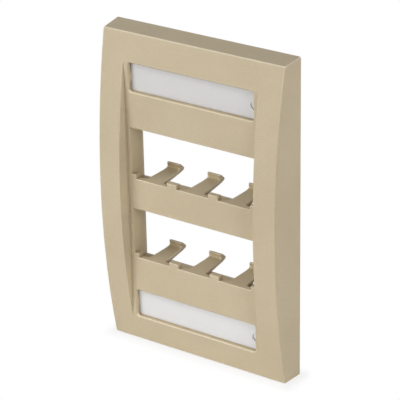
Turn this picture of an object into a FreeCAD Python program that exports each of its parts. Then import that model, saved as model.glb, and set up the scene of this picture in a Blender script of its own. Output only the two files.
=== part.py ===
import FreeCAD, Part
import math
import os
import re
import Sketcher
from FreeCAD import Vector

# A single-gang wall faceplate with a bowed front and two rows of three jack bays.
# X runs to the right as seen from the front, Z runs up and Y runs into the wall.
# The origin is the middle of the plate on the wall plane, and a height is measured
# off the wall, towards the viewer. All sizes are in millimetres and degrees.

SIZES = {
    # The bowed shell.
    "plate_width": 69.85,
    "plate_height": 114.3,
    "edge_height": 8.4,
    "bow_rise": 6.1,
    "side_draft": 3.6,
    "end_draft": 3.8,
    "corner_radius": 0.5,
    "face_edge_radius": 0.3,
    "wall": 2.1,
    # The flat panel sunk between the two side rails.
    "panel_width": 51.4,
    "panel_setback": 4.2,
    "panel_thickness": 2.15,
    "recess_draft": 2.8,
    "recess_foot_radius": 0.2,
    # The two windows with a paper label behind a clear cover, over the mounting screws.
    "screw_spacing": 83.3,
    "label_window_width": 47.7,
    "label_window_height": 10.1,
    "label_window_radius": 0.9,
    "label_reveal": 1.1,
    "window_bevel": 0.3,
    "tray_wall": 1.6,
    "tray_floor": 1.6,
    "boss_diameter": 10.0,
    "boss_setback": 1.0,
    # The clear cover, its tongues and its thumbnail notch.
    "cover_thickness": 0.7,
    "cover_clearance": 0.12,
    "cover_edge_bevel": 0.3,
    "tongue_length": 0.9,
    "tongue_width": 2.4,
    "tongue_thickness": 0.55,
    "tongue_spacing": 5.6,
    "notch_radius": 1.6,
    # The paper label.
    "label_width": 46.0,
    "label_height": 9.7,
    "label_margin": 0.2,
    "label_thickness": 0.25,
    "label_slack": 0.05,
    # The mounting screw, a slotted oval head on a number six shank.
    "screw_diameter": 3.5,
    "screw_neck_diameter": 2.9,
    "screw_head_diameter": 6.9,
    "screw_head_angle": 82.0,
    "screw_head_dome": 0.5,
    "screw_head_rim": 0.25,
    "screw_length": 19.0,
    "screw_point": 0.6,
    "thread_start": 0.5,
    "screw_slot_width": 1.0,
    "screw_slot_depth": 0.8,
    "screw_hole_diameter": 4.3,
    "screw_head_clearance": 0.35,
    "screw_head_depth": 0.9,
    "seat_clearance": 0.05,
    # The port windows, one for each row, and the bays in them.
    "port_width": 48.1,
    "port_height": 18.3,
    "port_edge_radius": 0.2,
    "row_spacing": 29.4,
    "bay_pitch": 16.1,
    "bay_width": 12.3,
    "tooth_height": 1.45,
    "frame_wall": 1.6,
    "frame_setback": 2.35,
    "frame_lead_in": 1.4,
    "frame_lead_angle": 15.0,
    "shelf_drop": 1.85,
    "shelf_thickness": 1.5,
    "catch_lip": 0.6,
    "catch_depth": 1.0,
    "sill_radius": 0.3,
    # The latch arms, which flex down when a jack is pushed in.
    "arm_root_width": 6.4,
    "arm_tip_width": 4.5,
    "arm_thickness": 1.3,
    "arm_root_radius": 0.8,
    "ramp_length": 2.7,
    "ramp_rise": 0.25,
    "hook_bend_reach": 3.1,
    "hook_height": 1.95,
    "hook_overhang": 0.35,
    "hook_top_length": 0.8,
    "hook_bend_radius": 0.8,
    "hook_top_radius": 0.2,
    "nose_reach": 6.4,
    "nose_drop": 0.6,
    "nose_radius": 0.5,
    "hook_heel": 0.6,
    "shelf_gap": 0.05,
    # The stiffening ribs behind the panel and the rails.
    "rib_thickness": 1.2,
    "rib_setback": 4.0,
    "rib_spacing": 14.7,
    "rib_depth": 6.0,
    # How far the cuts from the front start above the crown.
    "cut_start": 5.0,
}

# How closely two lengths, two directions or two volumes have to agree.
LENGTH_MATCH = 0.01
NORMAL_MATCH = 1e-6
VOLUME_MATCH = 1e-4
FACE_ANGLE = math.radians(6)
EDGE_ANGLE = math.radians(10)

doc = FreeCAD.newDocument("jack_faceplate")
sheet = doc.addObject("Spreadsheet::Sheet", "sizes")
for row, (name, number) in enumerate(SIZES.items(), 1):
    sheet.set("A%d" % row, name)
    sheet.set("B%d" % row, str(number))
    sheet.setAlias("B%d" % row, name)
doc.recompute()

# Heights, radii and places that follow from the driving sizes.
CROWN = "(edge_height + bow_rise)"
HALF_FACE = "(plate_height / 2 - edge_height * tan(end_draft * 1 deg))"
BOW_RADIUS = "((%s ^ 2 + bow_rise ^ 2) / (2 * bow_rise))" % HALF_FACE
BOW_CENTRE = "(%s - %s)" % (BOW_RADIUS, CROWN)
CORE_RADIUS = "(%s - wall)" % BOW_RADIUS
CORE_END = "(plate_height / 2 - wall)"
CORE_END_HEIGHT = "(sqrt(%s ^ 2 - %s ^ 2) - %s)" % (CORE_RADIUS, CORE_END, BOW_CENTRE)
CORE_SIDE = "(plate_width / 2 - wall)"
PANEL = "(%s - panel_setback)" % CROWN
PANEL_BACK = "(%s - panel_thickness)" % PANEL
PANEL_BACK_END = "sqrt(%s ^ 2 - (%s + %s) ^ 2)" % (CORE_RADIUS, BOW_CENTRE, PANEL_BACK)
COVER_FACE = "(%s - label_reveal)" % PANEL
COVER_BACK = "(%s - cover_thickness)" % COVER_FACE
LABEL_FLOOR = "(%s - label_thickness - label_slack)" % COVER_BACK
TRAY_BACK = "(%s - tray_floor)" % LABEL_FLOOR
LOWER_LABEL = "(-screw_spacing / 2)"
LOWER_SILL = "(-row_spacing / 2 - port_height / 2)"
LOWER_LINTEL = "(-row_spacing / 2 + port_height / 2)"
LOWER_SHELF = "(%s - shelf_drop)" % LOWER_SILL
HEAD_SEAT = "(%s - screw_head_depth)" % LABEL_FLOOR
HEAD_RADIUS = "(screw_head_diameter / 2)"
HEAD_TAN = "tan(screw_head_angle / 2 * 1 deg)"
BEYOND = "(%s + cut_start)" % CROWN


def formula(text):
    """Point every size name in a formula at its cell in the sheet."""
    return re.sub(
        r"[a-z_]+",
        lambda word: "<<sizes>>." + word.group() if word.group() in SIZES else word.group(),
        text,
    )


def value(text):
    """The number that a formula gives with the sizes as they are."""
    result = sheet.evalExpression(formula(text))
    return float(getattr(result, "Value", result))


def origin_feature(body, role):
    """One of a body's own origin planes or axes."""
    return next(item for item in body.Origin.OriginFeatures if item.Role == role)


def sketch_on(body, name, role, offset="0", lift="0"):
    """A sketch on an origin plane of its body, moved along the plane's normal and lifted."""
    sketch = body.newObject("Sketcher::SketchObject", name)
    sketch.AttachmentSupport = [(origin_feature(body, role), "")]
    sketch.MapMode = "FlatFace"
    sketch.setExpression("AttachmentOffset.Base.y", formula(lift))
    sketch.setExpression("AttachmentOffset.Base.z", formula(offset))
    return sketch


def bind(sketch, constraint, text):
    """Add a constraint whose value is a formula of the sizes."""
    index = sketch.addConstraint(constraint)
    name = "held_%d" % index
    sketch.renameConstraint(index, name)
    sketch.setExpression("Constraints." + name, formula(text))


def hold_point(sketch, geometry, end, across, up):
    """Fix one end of a line or arc by its two distances from the sketch's origin."""
    distance_x = Sketcher.Constraint("DistanceX", -1, 1, geometry, end, value(across))
    distance_y = Sketcher.Constraint("DistanceY", -1, 1, geometry, end, value(up))
    bind(sketch, distance_x, across)
    bind(sketch, distance_y, up)


def arc_between(start, finish, radius, side):
    """An arc that bulges to the left of the way from start to finish, or right for -1.

    It always turns anticlockwise, so one that bulges to the left starts at finish.
    """
    chord = finish - start
    reach = math.sqrt(max(0.0, radius ** 2 - (chord.Length / 2) ** 2))
    normal = Vector(-chord.y, chord.x, 0).normalize()
    centre = (start + finish) / 2 - normal * reach * side
    ends = (finish, start) if side > 0 else (start, finish)
    angles = [math.atan2(end.y - centre.y, end.x - centre.x) for end in ends]
    return Part.ArcOfCircle(Part.Circle(centre, Vector(0, 0, 1), radius), *angles)


def outline(sketch, points, arcs=None):
    """A closed outline through points given as pairs of formulas.

    arcs maps the number of a side to its radius and to the side that it bulges to.
    """
    arcs = arcs or {}
    corners = [Vector(value(across), value(up), 0) for across, up in points]
    ends = []
    for index, start in enumerate(corners):
        finish = corners[(index + 1) % len(corners)]
        if index in arcs:
            radius, side = arcs[index]
            piece = arc_between(start, finish, value(radius), side)
        else:
            piece = Part.LineSegment(start, finish)
        turned = index in arcs and side > 0
        ends.append((sketch.addGeometry(piece), 2 if turned else 1, 1 if turned else 2))
    for index, (geometry, first, last) in enumerate(ends):
        following = ends[(index + 1) % len(ends)]
        sketch.addConstraint(
            Sketcher.Constraint("Coincident", geometry, last, following[0], following[1])
        )
        hold_point(sketch, geometry, first, *points[index])
        if index in arcs:
            radius = arcs[index][0]
            bind(sketch, Sketcher.Constraint("Radius", geometry, value(radius)), radius)


def rectangle(sketch, left, right, low, high):
    """A rectangle between four formulas."""
    outline(sketch, [(left, low), (right, low), (right, high), (left, high)])


def rounded_rectangle(sketch, left, right, low, high, radius):
    """A rectangle with rounded corners, between four formulas."""
    outline(
        sketch,
        [
            (left + " + " + radius, low),
            (right + " - " + radius, low),
            (right, low + " + " + radius),
            (right, high + " - " + radius),
            (right + " - " + radius, high),
            (left + " + " + radius, high),
            (left, high + " - " + radius),
            (left, low + " + " + radius),
        ],
        {1: (radius, -1), 3: (radius, -1), 5: (radius, -1), 7: (radius, -1)},
    )


def circle(sketch, across, up, radius):
    """A circle whose centre and radius are formulas."""
    centre = Vector(value(across), value(up), 0)
    geometry = sketch.addGeometry(Part.Circle(centre, Vector(0, 0, 1), value(radius)))
    hold_point(sketch, geometry, 3, across, up)
    bind(sketch, Sketcher.Constraint("Radius", geometry, value(radius)), radius)


def measured(body, feature, before, grows):
    """Recompute a new feature, and stop if it failed or worked the wrong way round."""
    doc.recompute()
    if "Invalid" in feature.State or "Error" in feature.State or feature.Shape.isNull():
        raise RuntimeError("%s in %s wasn't built" % (feature.Name, body.Label))
    change = feature.Shape.Volume - before
    if (change > 0) != grows or abs(change) < VOLUME_MATCH:
        raise RuntimeError("%s in %s changed the volume by %.4f" % (feature.Name, body.Label, change))
    return feature


def volume_so_far(body):
    """The volume that a body has before its next feature."""
    return body.Tip.Shape.Volume if body.Tip else 0.0


def pad(body, name, sketch, length, symmetric=False, backwards=False):
    """Grow a sketch into the body."""
    before = volume_so_far(body)
    feature = body.newObject("PartDesign::Pad", name)
    feature.Profile = sketch
    feature.SideType = "Symmetric" if symmetric else "One side"
    feature.Reversed = backwards
    feature.setExpression("Length", formula(length))
    return measured(body, feature, before, True)


def pocket(body, name, sketch, length, symmetric=False, along=False, taper="0"):
    """Cut a sketch out of the body; along cuts towards the sketch's own normal."""
    before = volume_so_far(body)
    feature = body.newObject("PartDesign::Pocket", name)
    feature.Profile = sketch
    feature.SideType = "Symmetric" if symmetric else "One side"
    feature.Reversed = along
    feature.setExpression("Length", formula(length))
    feature.setExpression("TaperAngle", formula(taper))
    return measured(body, feature, before, False)


def revolved(body, kind, name, sketch, grows):
    """Turn a sketch a full turn about its own horizontal axis."""
    before = volume_so_far(body)
    feature = body.newObject("PartDesign::" + kind, name)
    feature.Profile = sketch
    feature.ReferenceAxis = (sketch, ["H_Axis"])
    feature.Angle = 360.0
    return measured(body, feature, before, grows)


def mirrored(body, name, originals, role, grows):
    """Repeat features on the other side of an origin plane."""
    before = volume_so_far(body)
    feature = body.newObject("PartDesign::Mirrored", name)
    feature.Originals = originals
    feature.MirrorPlane = (origin_feature(body, role), [""])
    body.Tip = feature
    return measured(body, feature, before, grows)


def patterned(body, name, originals, axis, length, count, grows, second=None):
    """Repeat features along an origin axis over a whole length, and along a second one."""
    before = volume_so_far(body)
    feature = body.newObject("PartDesign::LinearPattern", name)
    feature.Originals = originals
    feature.Direction = (origin_feature(body, axis), [""])
    feature.setExpression("Length", formula(length))
    feature.Occurrences = count
    if second:
        second_axis, second_length, second_count = second
        feature.Direction2 = (origin_feature(body, second_axis), [""])
        feature.setExpression("Length2", formula(second_length))
        feature.Occurrences2 = second_count
    body.Tip = feature
    return measured(body, feature, before, grows)


def edges_where(feature, test):
    """The names of a feature's edges that pass a test on the edge."""
    edges = enumerate(feature.Shape.Edges, 1)
    return ["Edge%d" % number for number, edge in edges if test(edge)]


def faces_where(feature, test):
    """The names of a feature's faces that pass a test on the face."""
    faces = enumerate(feature.Shape.Faces, 1)
    return ["Face%d" % number for number, face in faces if test(face)]


def near(a, b):
    """Whether two lengths are the same to a hundredth of a millimetre."""
    return abs(a - b) < LENGTH_MATCH


def looks_sideways(face):
    """Whether a face looks straight to the left or to the right."""
    return abs(face.normalAt(0, 0).x) > 1 - NORMAL_MATCH


def facing(face, direction):
    """Whether a face is flat and looks along a direction."""
    if not isinstance(face.Surface, Part.Plane):
        return False
    return face.normalAt(0, 0).getAngle(direction) < FACE_ANGLE


def runs_along(edge, direction):
    """Whether an edge is straight and lies along a direction, either way."""
    if not isinstance(edge.Curve, Part.Line):
        return False
    angle = edge.tangentAt(edge.FirstParameter).getAngle(direction)
    return min(angle, math.pi - angle) < EDGE_ANGLE


def dressed(body, kind, name, edges, size_text):
    """Round or bevel chosen edges of the body's last feature."""
    if not edges:
        raise RuntimeError("%s found no edges" % name)
    base = body.Tip
    feature = body.newObject("PartDesign::" + kind, name)
    feature.Base = (base, edges)
    feature.setExpression("Radius" if kind == "Fillet" else "Size", formula(size_text))
    doc.recompute()
    if "Invalid" in feature.State or "Error" in feature.State or feature.Shape.isNull():
        raise RuntimeError("%s in %s wasn't built" % (name, body.Label))
    return feature


def tapered(body, name, faces, angle, grows):
    """Draft side faces about the wall plane."""
    base = body.Tip
    before = base.Shape.Volume
    back = faces_where(base, lambda face: facing(face, Vector(0, 1, 0)) and near(face.CenterOfMass.y, 0))
    feature = body.newObject("PartDesign::Draft", name)
    feature.Base = (base, faces)
    feature.NeutralPlane = (base, back[:1])
    feature.setExpression("Angle", formula(angle))
    doc.recompute()
    # The pull direction is known only after the first pass, so the draft is worked out twice.
    feature.touch()
    doc.recompute()
    if (feature.Shape.Volume > before) != grows:
        feature.Reversed = True
    return measured(body, feature, before, grows)


def new_body(label):
    """An empty body for one piece."""
    body = doc.addObject("PartDesign::Body", label)
    body.Label = label
    return body


def shell(body):
    """The bowed, drafted shell with a flat panel sunk between its side rails."""
    profile = sketch_on(body, "side_profile", "YZ_Plane")
    outline(
        profile,
        [
            ("0", "-plate_height / 2"),
            ("0", "plate_height / 2"),
            ("-edge_height", HALF_FACE),
            ("-edge_height", "-" + HALF_FACE),
        ],
        {2: (BOW_RADIUS, -1)},
    )
    block = pad(body, "bowed_block", profile, "plate_width", symmetric=True)
    sides = faces_where(block, looks_sideways)
    tapered(body, "side_taper", sides, "side_draft", False)

    corners = edges_where(body.Tip, lambda edge: runs_along(edge, Vector(0, 1, 0)))
    dressed(body, "Fillet", "rounded_corners", corners, "corner_radius")
    edge_height = value("edge_height")
    rim = edges_where(
        body.Tip,
        lambda edge: all(point.y < LENGTH_MATCH - edge_height for point in edge.discretize(5)),
    )
    dressed(body, "Fillet", "softened_face", rim, "face_edge_radius")

    section = sketch_on(body, "recess_section", "XY_Plane")
    flare = "(panel_width / 2 + (%s - %s) * tan(recess_draft * 1 deg))" % (BEYOND, PANEL)
    foot_radius = "recess_foot_radius"
    floor_end = "(panel_width / 2 - recess_foot_radius)"
    outline(
        section,
        [
            ("-" + floor_end, "-" + PANEL),
            (floor_end, "-" + PANEL),
            ("panel_width / 2", "-%s - recess_foot_radius" % PANEL),
            (flare, "-" + BEYOND),
            ("-" + flare, "-" + BEYOND),
            ("-panel_width / 2", "-%s - recess_foot_radius" % PANEL),
        ],
        {1: (foot_radius, 1), 5: (foot_radius, 1)},
    )
    pocket(body, "front_recess", section, "plate_height", symmetric=True)


def hollow(body):
    """The hollow back, which follows the bow behind the rails and the panel between them."""
    profile = sketch_on(body, "cavity_profile", "YZ_Plane")
    outline(
        profile,
        [
            ("0", "-" + CORE_END),
            ("0", CORE_END),
            ("-" + CORE_END_HEIGHT, CORE_END),
            ("-" + PANEL_BACK, PANEL_BACK_END),
            ("-" + PANEL_BACK, "-" + PANEL_BACK_END),
            ("-" + CORE_END_HEIGHT, "-" + CORE_END),
        ],
        {2: (CORE_RADIUS, -1), 4: (CORE_RADIUS, -1)},
    )
    pocket(body, "back_cavity", profile, "2 * " + CORE_SIDE, symmetric=True)

    channel = sketch_on(body, "channel_profile", "YZ_Plane", "panel_width / 2 + wall")
    outline(
        channel,
        [
            ("0", "-" + CORE_END),
            ("0", CORE_END),
            ("-" + CORE_END_HEIGHT, CORE_END),
            ("-" + CORE_END_HEIGHT, "-" + CORE_END),
        ],
        {2: (CORE_RADIUS, -1)},
    )
    length = "%s - panel_width / 2 - wall" % CORE_SIDE
    right = pocket(body, "right_channel", channel, length, along=True)
    mirrored(body, "left_channel", [right], "YZ_Plane", False)
    inner = value(CORE_SIDE)
    sides = faces_where(
        body.Tip,
        lambda face: near(abs(face.CenterOfMass.x), inner) and looks_sideways(face),
    )
    tapered(body, "core_taper", sides, "side_draft", True)


def ribs(body):
    """Upright ribs behind the panel and cross ribs behind the rails."""
    upright = sketch_on(body, "upright_rib_outline", "XZ_Plane", "rib_setback")
    cross = sketch_on(body, "cross_rib_outline", "XZ_Plane", "rib_setback")
    for side in ("", "-"):
        rectangle(
            upright,
            side + "bay_pitch / 2 - rib_thickness / 2",
            side + "bay_pitch / 2 + rib_thickness / 2",
            LOWER_LABEL,
            "-" + LOWER_LABEL,
        )
        rectangle(
            cross,
            side + "(port_width / 2 + frame_wall / 2)",
            side + "(%s + wall / 4)" % CORE_SIDE,
            "-2 * rib_spacing - rib_thickness / 2",
            "-2 * rib_spacing + rib_thickness / 2",
        )
    pad(body, "upright_ribs", upright, "%s - rib_setback + panel_thickness / 2" % PANEL_BACK)
    lowest = pad(body, "lowest_cross_ribs", cross, "rib_depth")
    patterned(body, "cross_ribs", [lowest], "Z_Axis", "4 * rib_spacing", 5, True)


def label_windows(body):
    """The two label trays, with a countersunk screw hole in each floor."""
    middle = LOWER_LABEL
    tray = sketch_on(body, "tray_outline", "XZ_Plane", TRAY_BACK)
    rectangle(
        tray,
        "-label_window_width / 2 - tray_wall",
        "label_window_width / 2 + tray_wall",
        middle + " - label_window_height / 2 - tray_wall",
        middle + " + label_window_height / 2 + tray_wall",
    )
    tray_block = pad(body, "tray_block", tray, "%s - %s" % (COVER_FACE, TRAY_BACK))

    boss = sketch_on(body, "boss_outline", "XZ_Plane", "boss_setback")
    circle(boss, "0", middle, "boss_diameter / 2")
    boss_block = pad(body, "screw_boss", boss, "%s + tray_floor / 2 - boss_setback" % TRAY_BACK)

    window_edges = (
        "-label_window_width / 2",
        "label_window_width / 2",
        middle + " - label_window_height / 2",
        middle + " + label_window_height / 2",
        "label_window_radius",
    )
    window = sketch_on(body, "label_window_outline", "XZ_Plane", LABEL_FLOOR)
    rounded_rectangle(window, *window_edges)
    opening = pocket(body, "label_window", window, "%s - %s" % (BEYOND, LABEL_FLOOR), along=True)

    bevel = sketch_on(body, "label_bevel_outline", "XZ_Plane", PANEL + " - window_bevel")
    rounded_rectangle(bevel, *window_edges)
    bevelled = pocket(body, "label_window_bevel", bevel, "2 * window_bevel", along=True, taper="45")

    slots = sketch_on(body, "tongue_slot_outline", "XZ_Plane", COVER_BACK + " - cover_clearance")
    half_slot = "(tongue_width / 2 + cover_clearance)"
    for side in ("", "-"):
        for row in (" - ", " + "):
            centre = middle + row + "tongue_spacing / 2"
            rectangle(
                slots,
                side + "(label_window_width / 2 - cover_clearance)",
                side + "(label_window_width / 2 + tongue_length)",
                centre + " - " + half_slot,
                centre + " + " + half_slot,
            )
    slot_cut = pocket(body, "tongue_slots", slots, "tongue_thickness + 2 * cover_clearance", along=True)

    hole = sketch_on(body, "screw_hole_profile", "YZ_Plane", "0", middle)
    recess_radius = HEAD_RADIUS + " + screw_head_clearance"
    mouth_radius = HEAD_RADIUS + " + seat_clearance"
    cone_depth = "(%s + seat_clearance - screw_hole_diameter / 2) / %s" % (HEAD_RADIUS, HEAD_TAN)
    outline(
        hole,
        [
            ("-%s - label_thickness" % LABEL_FLOOR, "0"),
            ("-%s - label_thickness" % LABEL_FLOOR, recess_radius),
            ("-" + HEAD_SEAT, recess_radius),
            ("-" + HEAD_SEAT, mouth_radius),
            ("-%s + %s" % (HEAD_SEAT, cone_depth), "screw_hole_diameter / 2"),
            ("0", "screw_hole_diameter / 2"),
            ("0", "0"),
        ],
    )
    hole_cut = revolved(body, "Groove", "screw_hole", hole, False)
    features = [tray_block, boss_block, opening, bevelled, slot_cut, hole_cut]
    mirrored(body, "upper_label_window", features, "XY_Plane", True)


def port_windows(body):
    """The two port windows, with a toothed sill in front and a rectangular duct behind."""
    frame = sketch_on(body, "frame_outline", "XZ_Plane", "frame_setback")
    rectangle(
        frame,
        "-port_width / 2 - frame_wall",
        "port_width / 2 + frame_wall",
        LOWER_SHELF + " - shelf_thickness",
        LOWER_LINTEL + " + frame_wall",
    )
    length = "%s + panel_thickness / 2 - frame_setback" % PANEL_BACK
    frame_block = pad(body, "frame_block", frame, length)

    comb = sketch_on(body, "port_outline", "XZ_Plane", PANEL_BACK)
    tooth_top = LOWER_SILL + " + tooth_height"
    corners = [("-port_width / 2", LOWER_LINTEL), ("-port_width / 2", tooth_top)]
    for bay in ("-bay_pitch", "0", "bay_pitch"):
        corners.append((bay + " - bay_width / 2", tooth_top))
        corners.append((bay + " - bay_width / 2", LOWER_SILL))
        corners.append((bay + " + bay_width / 2", LOWER_SILL))
        corners.append((bay + " + bay_width / 2", tooth_top))
    corners += [("port_width / 2", tooth_top), ("port_width / 2", LOWER_LINTEL)]
    outline(comb, corners)
    opening = pocket(body, "port_opening", comb, "%s - %s" % (BEYOND, PANEL_BACK), along=True)

    duct = sketch_on(body, "duct_outline", "XZ_Plane", PANEL_BACK)
    duct_edges = ("-port_width / 2", "port_width / 2", LOWER_SHELF, LOWER_LINTEL)
    rectangle(duct, *duct_edges)
    duct_cut = pocket(body, "duct", duct, PANEL_BACK)

    lead = sketch_on(body, "lead_in_outline", "XZ_Plane", "frame_setback + frame_lead_in")
    rectangle(lead, *duct_edges)
    lead_cut = pocket(body, "duct_lead_in", lead, "2 * frame_lead_in", taper="frame_lead_angle")

    lip = sketch_on(body, "catch_lip_outline", "XZ_Plane", "frame_setback")
    rectangle(
        lip,
        "-port_width / 2 - frame_wall / 2",
        "port_width / 2 + frame_wall / 2",
        LOWER_LINTEL + " - catch_lip",
        LOWER_LINTEL + " + frame_wall / 2",
    )
    lip_block = pad(body, "catch_lip_bar", lip, "catch_depth")
    features = [frame_block, opening, duct_cut, lead_cut, lip_block]
    patterned(body, "port_rows", features, "Z_Axis", "row_spacing", 2, False)


def latch_arms(body):
    """One hooked spring arm for each bay, growing back from the sill."""
    profile = sketch_on(body, "arm_profile", "YZ_Plane", "-bay_pitch")
    root = "-%s - panel_thickness / 2" % PANEL_BACK
    underside = LOWER_SILL + " - arm_thickness"
    hook_top = LOWER_SILL + " + hook_height"
    outline(
        profile,
        [
            (root, LOWER_SILL),
            ("hook_bend_reach - ramp_length", LOWER_SILL),
            ("hook_bend_reach", LOWER_SILL + " + ramp_rise"),
            ("hook_bend_reach - hook_overhang", hook_top),
            ("hook_bend_reach - hook_overhang + hook_top_length", hook_top),
            ("nose_reach", LOWER_SILL + " - nose_drop"),
            ("hook_bend_reach + hook_heel", underside + " + ramp_rise"),
            ("-" + PANEL_BACK, underside),
            (root, underside),
        ],
    )
    blank = pad(body, "arm_blank", profile, "arm_root_width + 2 * arm_root_radius", symmetric=True)

    plan = sketch_on(body, "arm_plan", "XY_Plane", LOWER_SHELF + " + shelf_gap")
    for side, sign in (("+", 1), ("-", -1)):
        def across(text):
            return "-bay_pitch %s (%s)" % (side, text)

        far = across("arm_root_width / 2 + arm_root_radius + shelf_gap")
        end = "nose_reach + shelf_gap"
        outline(
            plan,
            [
                (across("arm_root_width / 2 + arm_root_radius"), "-" + PANEL_BACK),
                (across("arm_root_width / 2"), "-%s + arm_root_radius" % PANEL_BACK),
                (across("arm_tip_width / 2"), end),
                (far, end),
                (far, "-" + PANEL_BACK),
            ],
            {0: ("arm_root_radius", sign)},
        )
    sides = pocket(body, "arm_sides", plan, "shelf_drop + hook_height", along=True)
    second = ("Z_Axis", "row_spacing", 2)
    patterned(body, "arm_rows", [blank, sides], "X_Axis", "2 * bay_pitch", 3, True, second)


def softened_edges(body):
    """Roundings of the port windows' edges and of the hooks."""
    across = Vector(1, 0, 0)
    half_width = value("port_width / 2") + LENGTH_MATCH
    sills = [value(LOWER_SILL), value(LOWER_SILL) + value("row_spacing")]
    panel = value(PANEL)
    panel_back = value(PANEL_BACK)
    port_height = value("port_height")
    tooth = value("tooth_height")

    def in_port(edge, reach, top):
        """Whether an edge is at a height off the wall and between a sill and a level above it."""
        middle = edge.CenterOfMass
        return (
            near(middle.y, -reach)
            and abs(middle.x) < half_width
            and any(-LENGTH_MATCH < middle.z - sill < top + LENGTH_MATCH for sill in sills)
        )

    def on_line(edge, reach, rise):
        """Whether an edge runs across at a distance behind the wall plane and above a sill."""
        middle = edge.CenterOfMass
        return (
            runs_along(edge, across)
            and near(middle.y, reach)
            and any(near(middle.z, sill + rise) for sill in sills)
        )

    def rounded(name, size_text, test):
        dressed(body, "Fillet", name, edges_where(body.Tip, test), size_text)

    shortest_arm_edge = value("arm_root_width")
    rounded(
        "sill_edges",
        "sill_radius",
        lambda edge: edge.Length < shortest_arm_edge
        and (on_line(edge, -panel_back, 0) or on_line(edge, -panel_back, tooth)),
    )
    rounded("port_edges", "port_edge_radius", lambda edge: in_port(edge, panel, port_height))

    bend = value("hook_bend_reach")
    top = bend - value("hook_overhang")
    top_end = top + value("hook_top_length")
    hook = value("hook_height")
    nose = value("nose_reach")
    drop = value("nose_drop")
    rise = value("ramp_rise")
    rounded("hook_bends", "hook_bend_radius", lambda edge: on_line(edge, bend, rise))
    rounded("hook_noses", "nose_radius", lambda edge: on_line(edge, nose, -drop))
    rounded(
        "hook_tops",
        "hook_top_radius",
        lambda edge: on_line(edge, top, hook) or on_line(edge, top_end, hook),
    )


def label_cover(label, middle):
    """The clear cover of a label window: a plate with four tongues and a thumbnail notch."""
    body = new_body(label)
    face = sketch_on(body, "cover_outline", "XZ_Plane", COVER_BACK)
    side_edge = "(label_window_width / 2 - cover_clearance)"
    half_height = "(label_window_height / 2 - cover_clearance)"
    rounded_rectangle(
        face,
        "-" + side_edge,
        side_edge,
        middle + " - " + half_height,
        middle + " + " + half_height,
        "(label_window_radius - cover_clearance)",
    )
    plate = pad(body, "cover_plate", face, "cover_thickness")
    front = value(COVER_FACE)
    rim = edges_where(plate, lambda edge: near(edge.CenterOfMass.y, -front))
    dressed(body, "Chamfer", "front_bevel", rim, "cover_edge_bevel")

    tongues = sketch_on(body, "tongue_outline", "XZ_Plane", COVER_BACK)
    for side in ("", "-"):
        for row in (" - ", " + "):
            centre = middle + row + "tongue_spacing / 2"
            rectangle(
                tongues,
                side + "(label_window_width / 2 - 2 * cover_clearance)",
                side + "(label_window_width / 2 + tongue_length - cover_clearance)",
                centre + " - tongue_width / 2",
                centre + " + tongue_width / 2",
            )
    pad(body, "tongues", tongues, "tongue_thickness")

    notch = sketch_on(body, "notch_outline", "XZ_Plane", COVER_BACK)
    circle(notch, side_edge, middle, "notch_radius")
    pocket(body, "thumbnail_notch", notch, "cover_thickness", along=True)
    return body


def paper_label(label, middle):
    """The paper strip that lies on the floor of a label tray."""
    body = new_body(label)
    face = sketch_on(body, "label_outline", "XZ_Plane", LABEL_FLOOR)
    left = "(-label_window_width / 2 + label_margin)"
    low = middle + " - label_height / 2"
    high = middle + " + label_height / 2"
    rounded_rectangle(face, left, left + " + label_width", low, high, "label_window_radius")
    pad(body, "strip", face, "label_thickness")
    return body


def mounting_screw(label, middle):
    """A slotted oval-head screw; the thread's own turns are left off its shank.

    The dome has a small flat in its middle, all of which the slot takes away.
    """
    body = new_body(label)
    profile = sketch_on(body, "screw_profile", "YZ_Plane", "0", middle)
    neck_depth = "(%s - screw_neck_diameter / 2) / %s" % (HEAD_RADIUS, HEAD_TAN)
    dome_radius = "((%s ^ 2 + screw_head_dome ^ 2) / (2 * screw_head_dome))" % HEAD_RADIUS
    rim = "(%s + screw_head_rim)" % HEAD_SEAT
    step = "(screw_diameter - screw_neck_diameter) / 2"
    tip = "(screw_length - %s)" % HEAD_SEAT
    outline(
        profile,
        [
            ("-%s - screw_head_dome" % rim, "0"),
            ("-%s - screw_head_dome" % rim, "screw_slot_width / 4"),
            ("-" + rim, HEAD_RADIUS),
            ("-" + HEAD_SEAT, HEAD_RADIUS),
            ("-%s + %s" % (HEAD_SEAT, neck_depth), "screw_neck_diameter / 2"),
            ("-thread_start - " + step, "screw_neck_diameter / 2"),
            ("-thread_start", "screw_diameter / 2"),
            (tip + " - screw_point", "screw_diameter / 2"),
            (tip, "screw_diameter / 2 - screw_point"),
            (tip, "0"),
        ],
        {1: (dome_radius, 1)},
    )
    revolved(body, "Revolution", "turned_blank", profile, True)

    head_top = "(%s + screw_head_dome)" % rim
    slot = sketch_on(body, "slot_outline", "XZ_Plane", head_top + " - screw_slot_depth")
    rectangle(
        slot,
        "-screw_head_diameter",
        "screw_head_diameter",
        middle + " - screw_slot_width / 2",
        middle + " + screw_slot_width / 2",
    )
    pocket(body, "driver_slot", slot, "2 * screw_slot_depth", along=True)
    return body


def checked(pieces):
    """Stop if any object failed or any piece isn't one sound solid."""
    doc.recompute()
    for item in doc.Objects:
        if "Invalid" in item.State or "Error" in item.State:
            raise RuntimeError("%s failed: %s" % (item.Name, item.State))
    for piece in pieces:
        shape = piece.Shape
        if shape.isNull() or not shape.isValid() or len(shape.Solids) != 1:
            raise RuntimeError("%s isn't one sound solid" % piece.Label)
        print("%-20s %10.2f mm3" % (piece.Label, shape.Volume))
    return pieces


faceplate = new_body("faceplate")
shell(faceplate)
hollow(faceplate)
ribs(faceplate)
label_windows(faceplate)
port_windows(faceplate)
latch_arms(faceplate)
softened_edges(faceplate)

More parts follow.
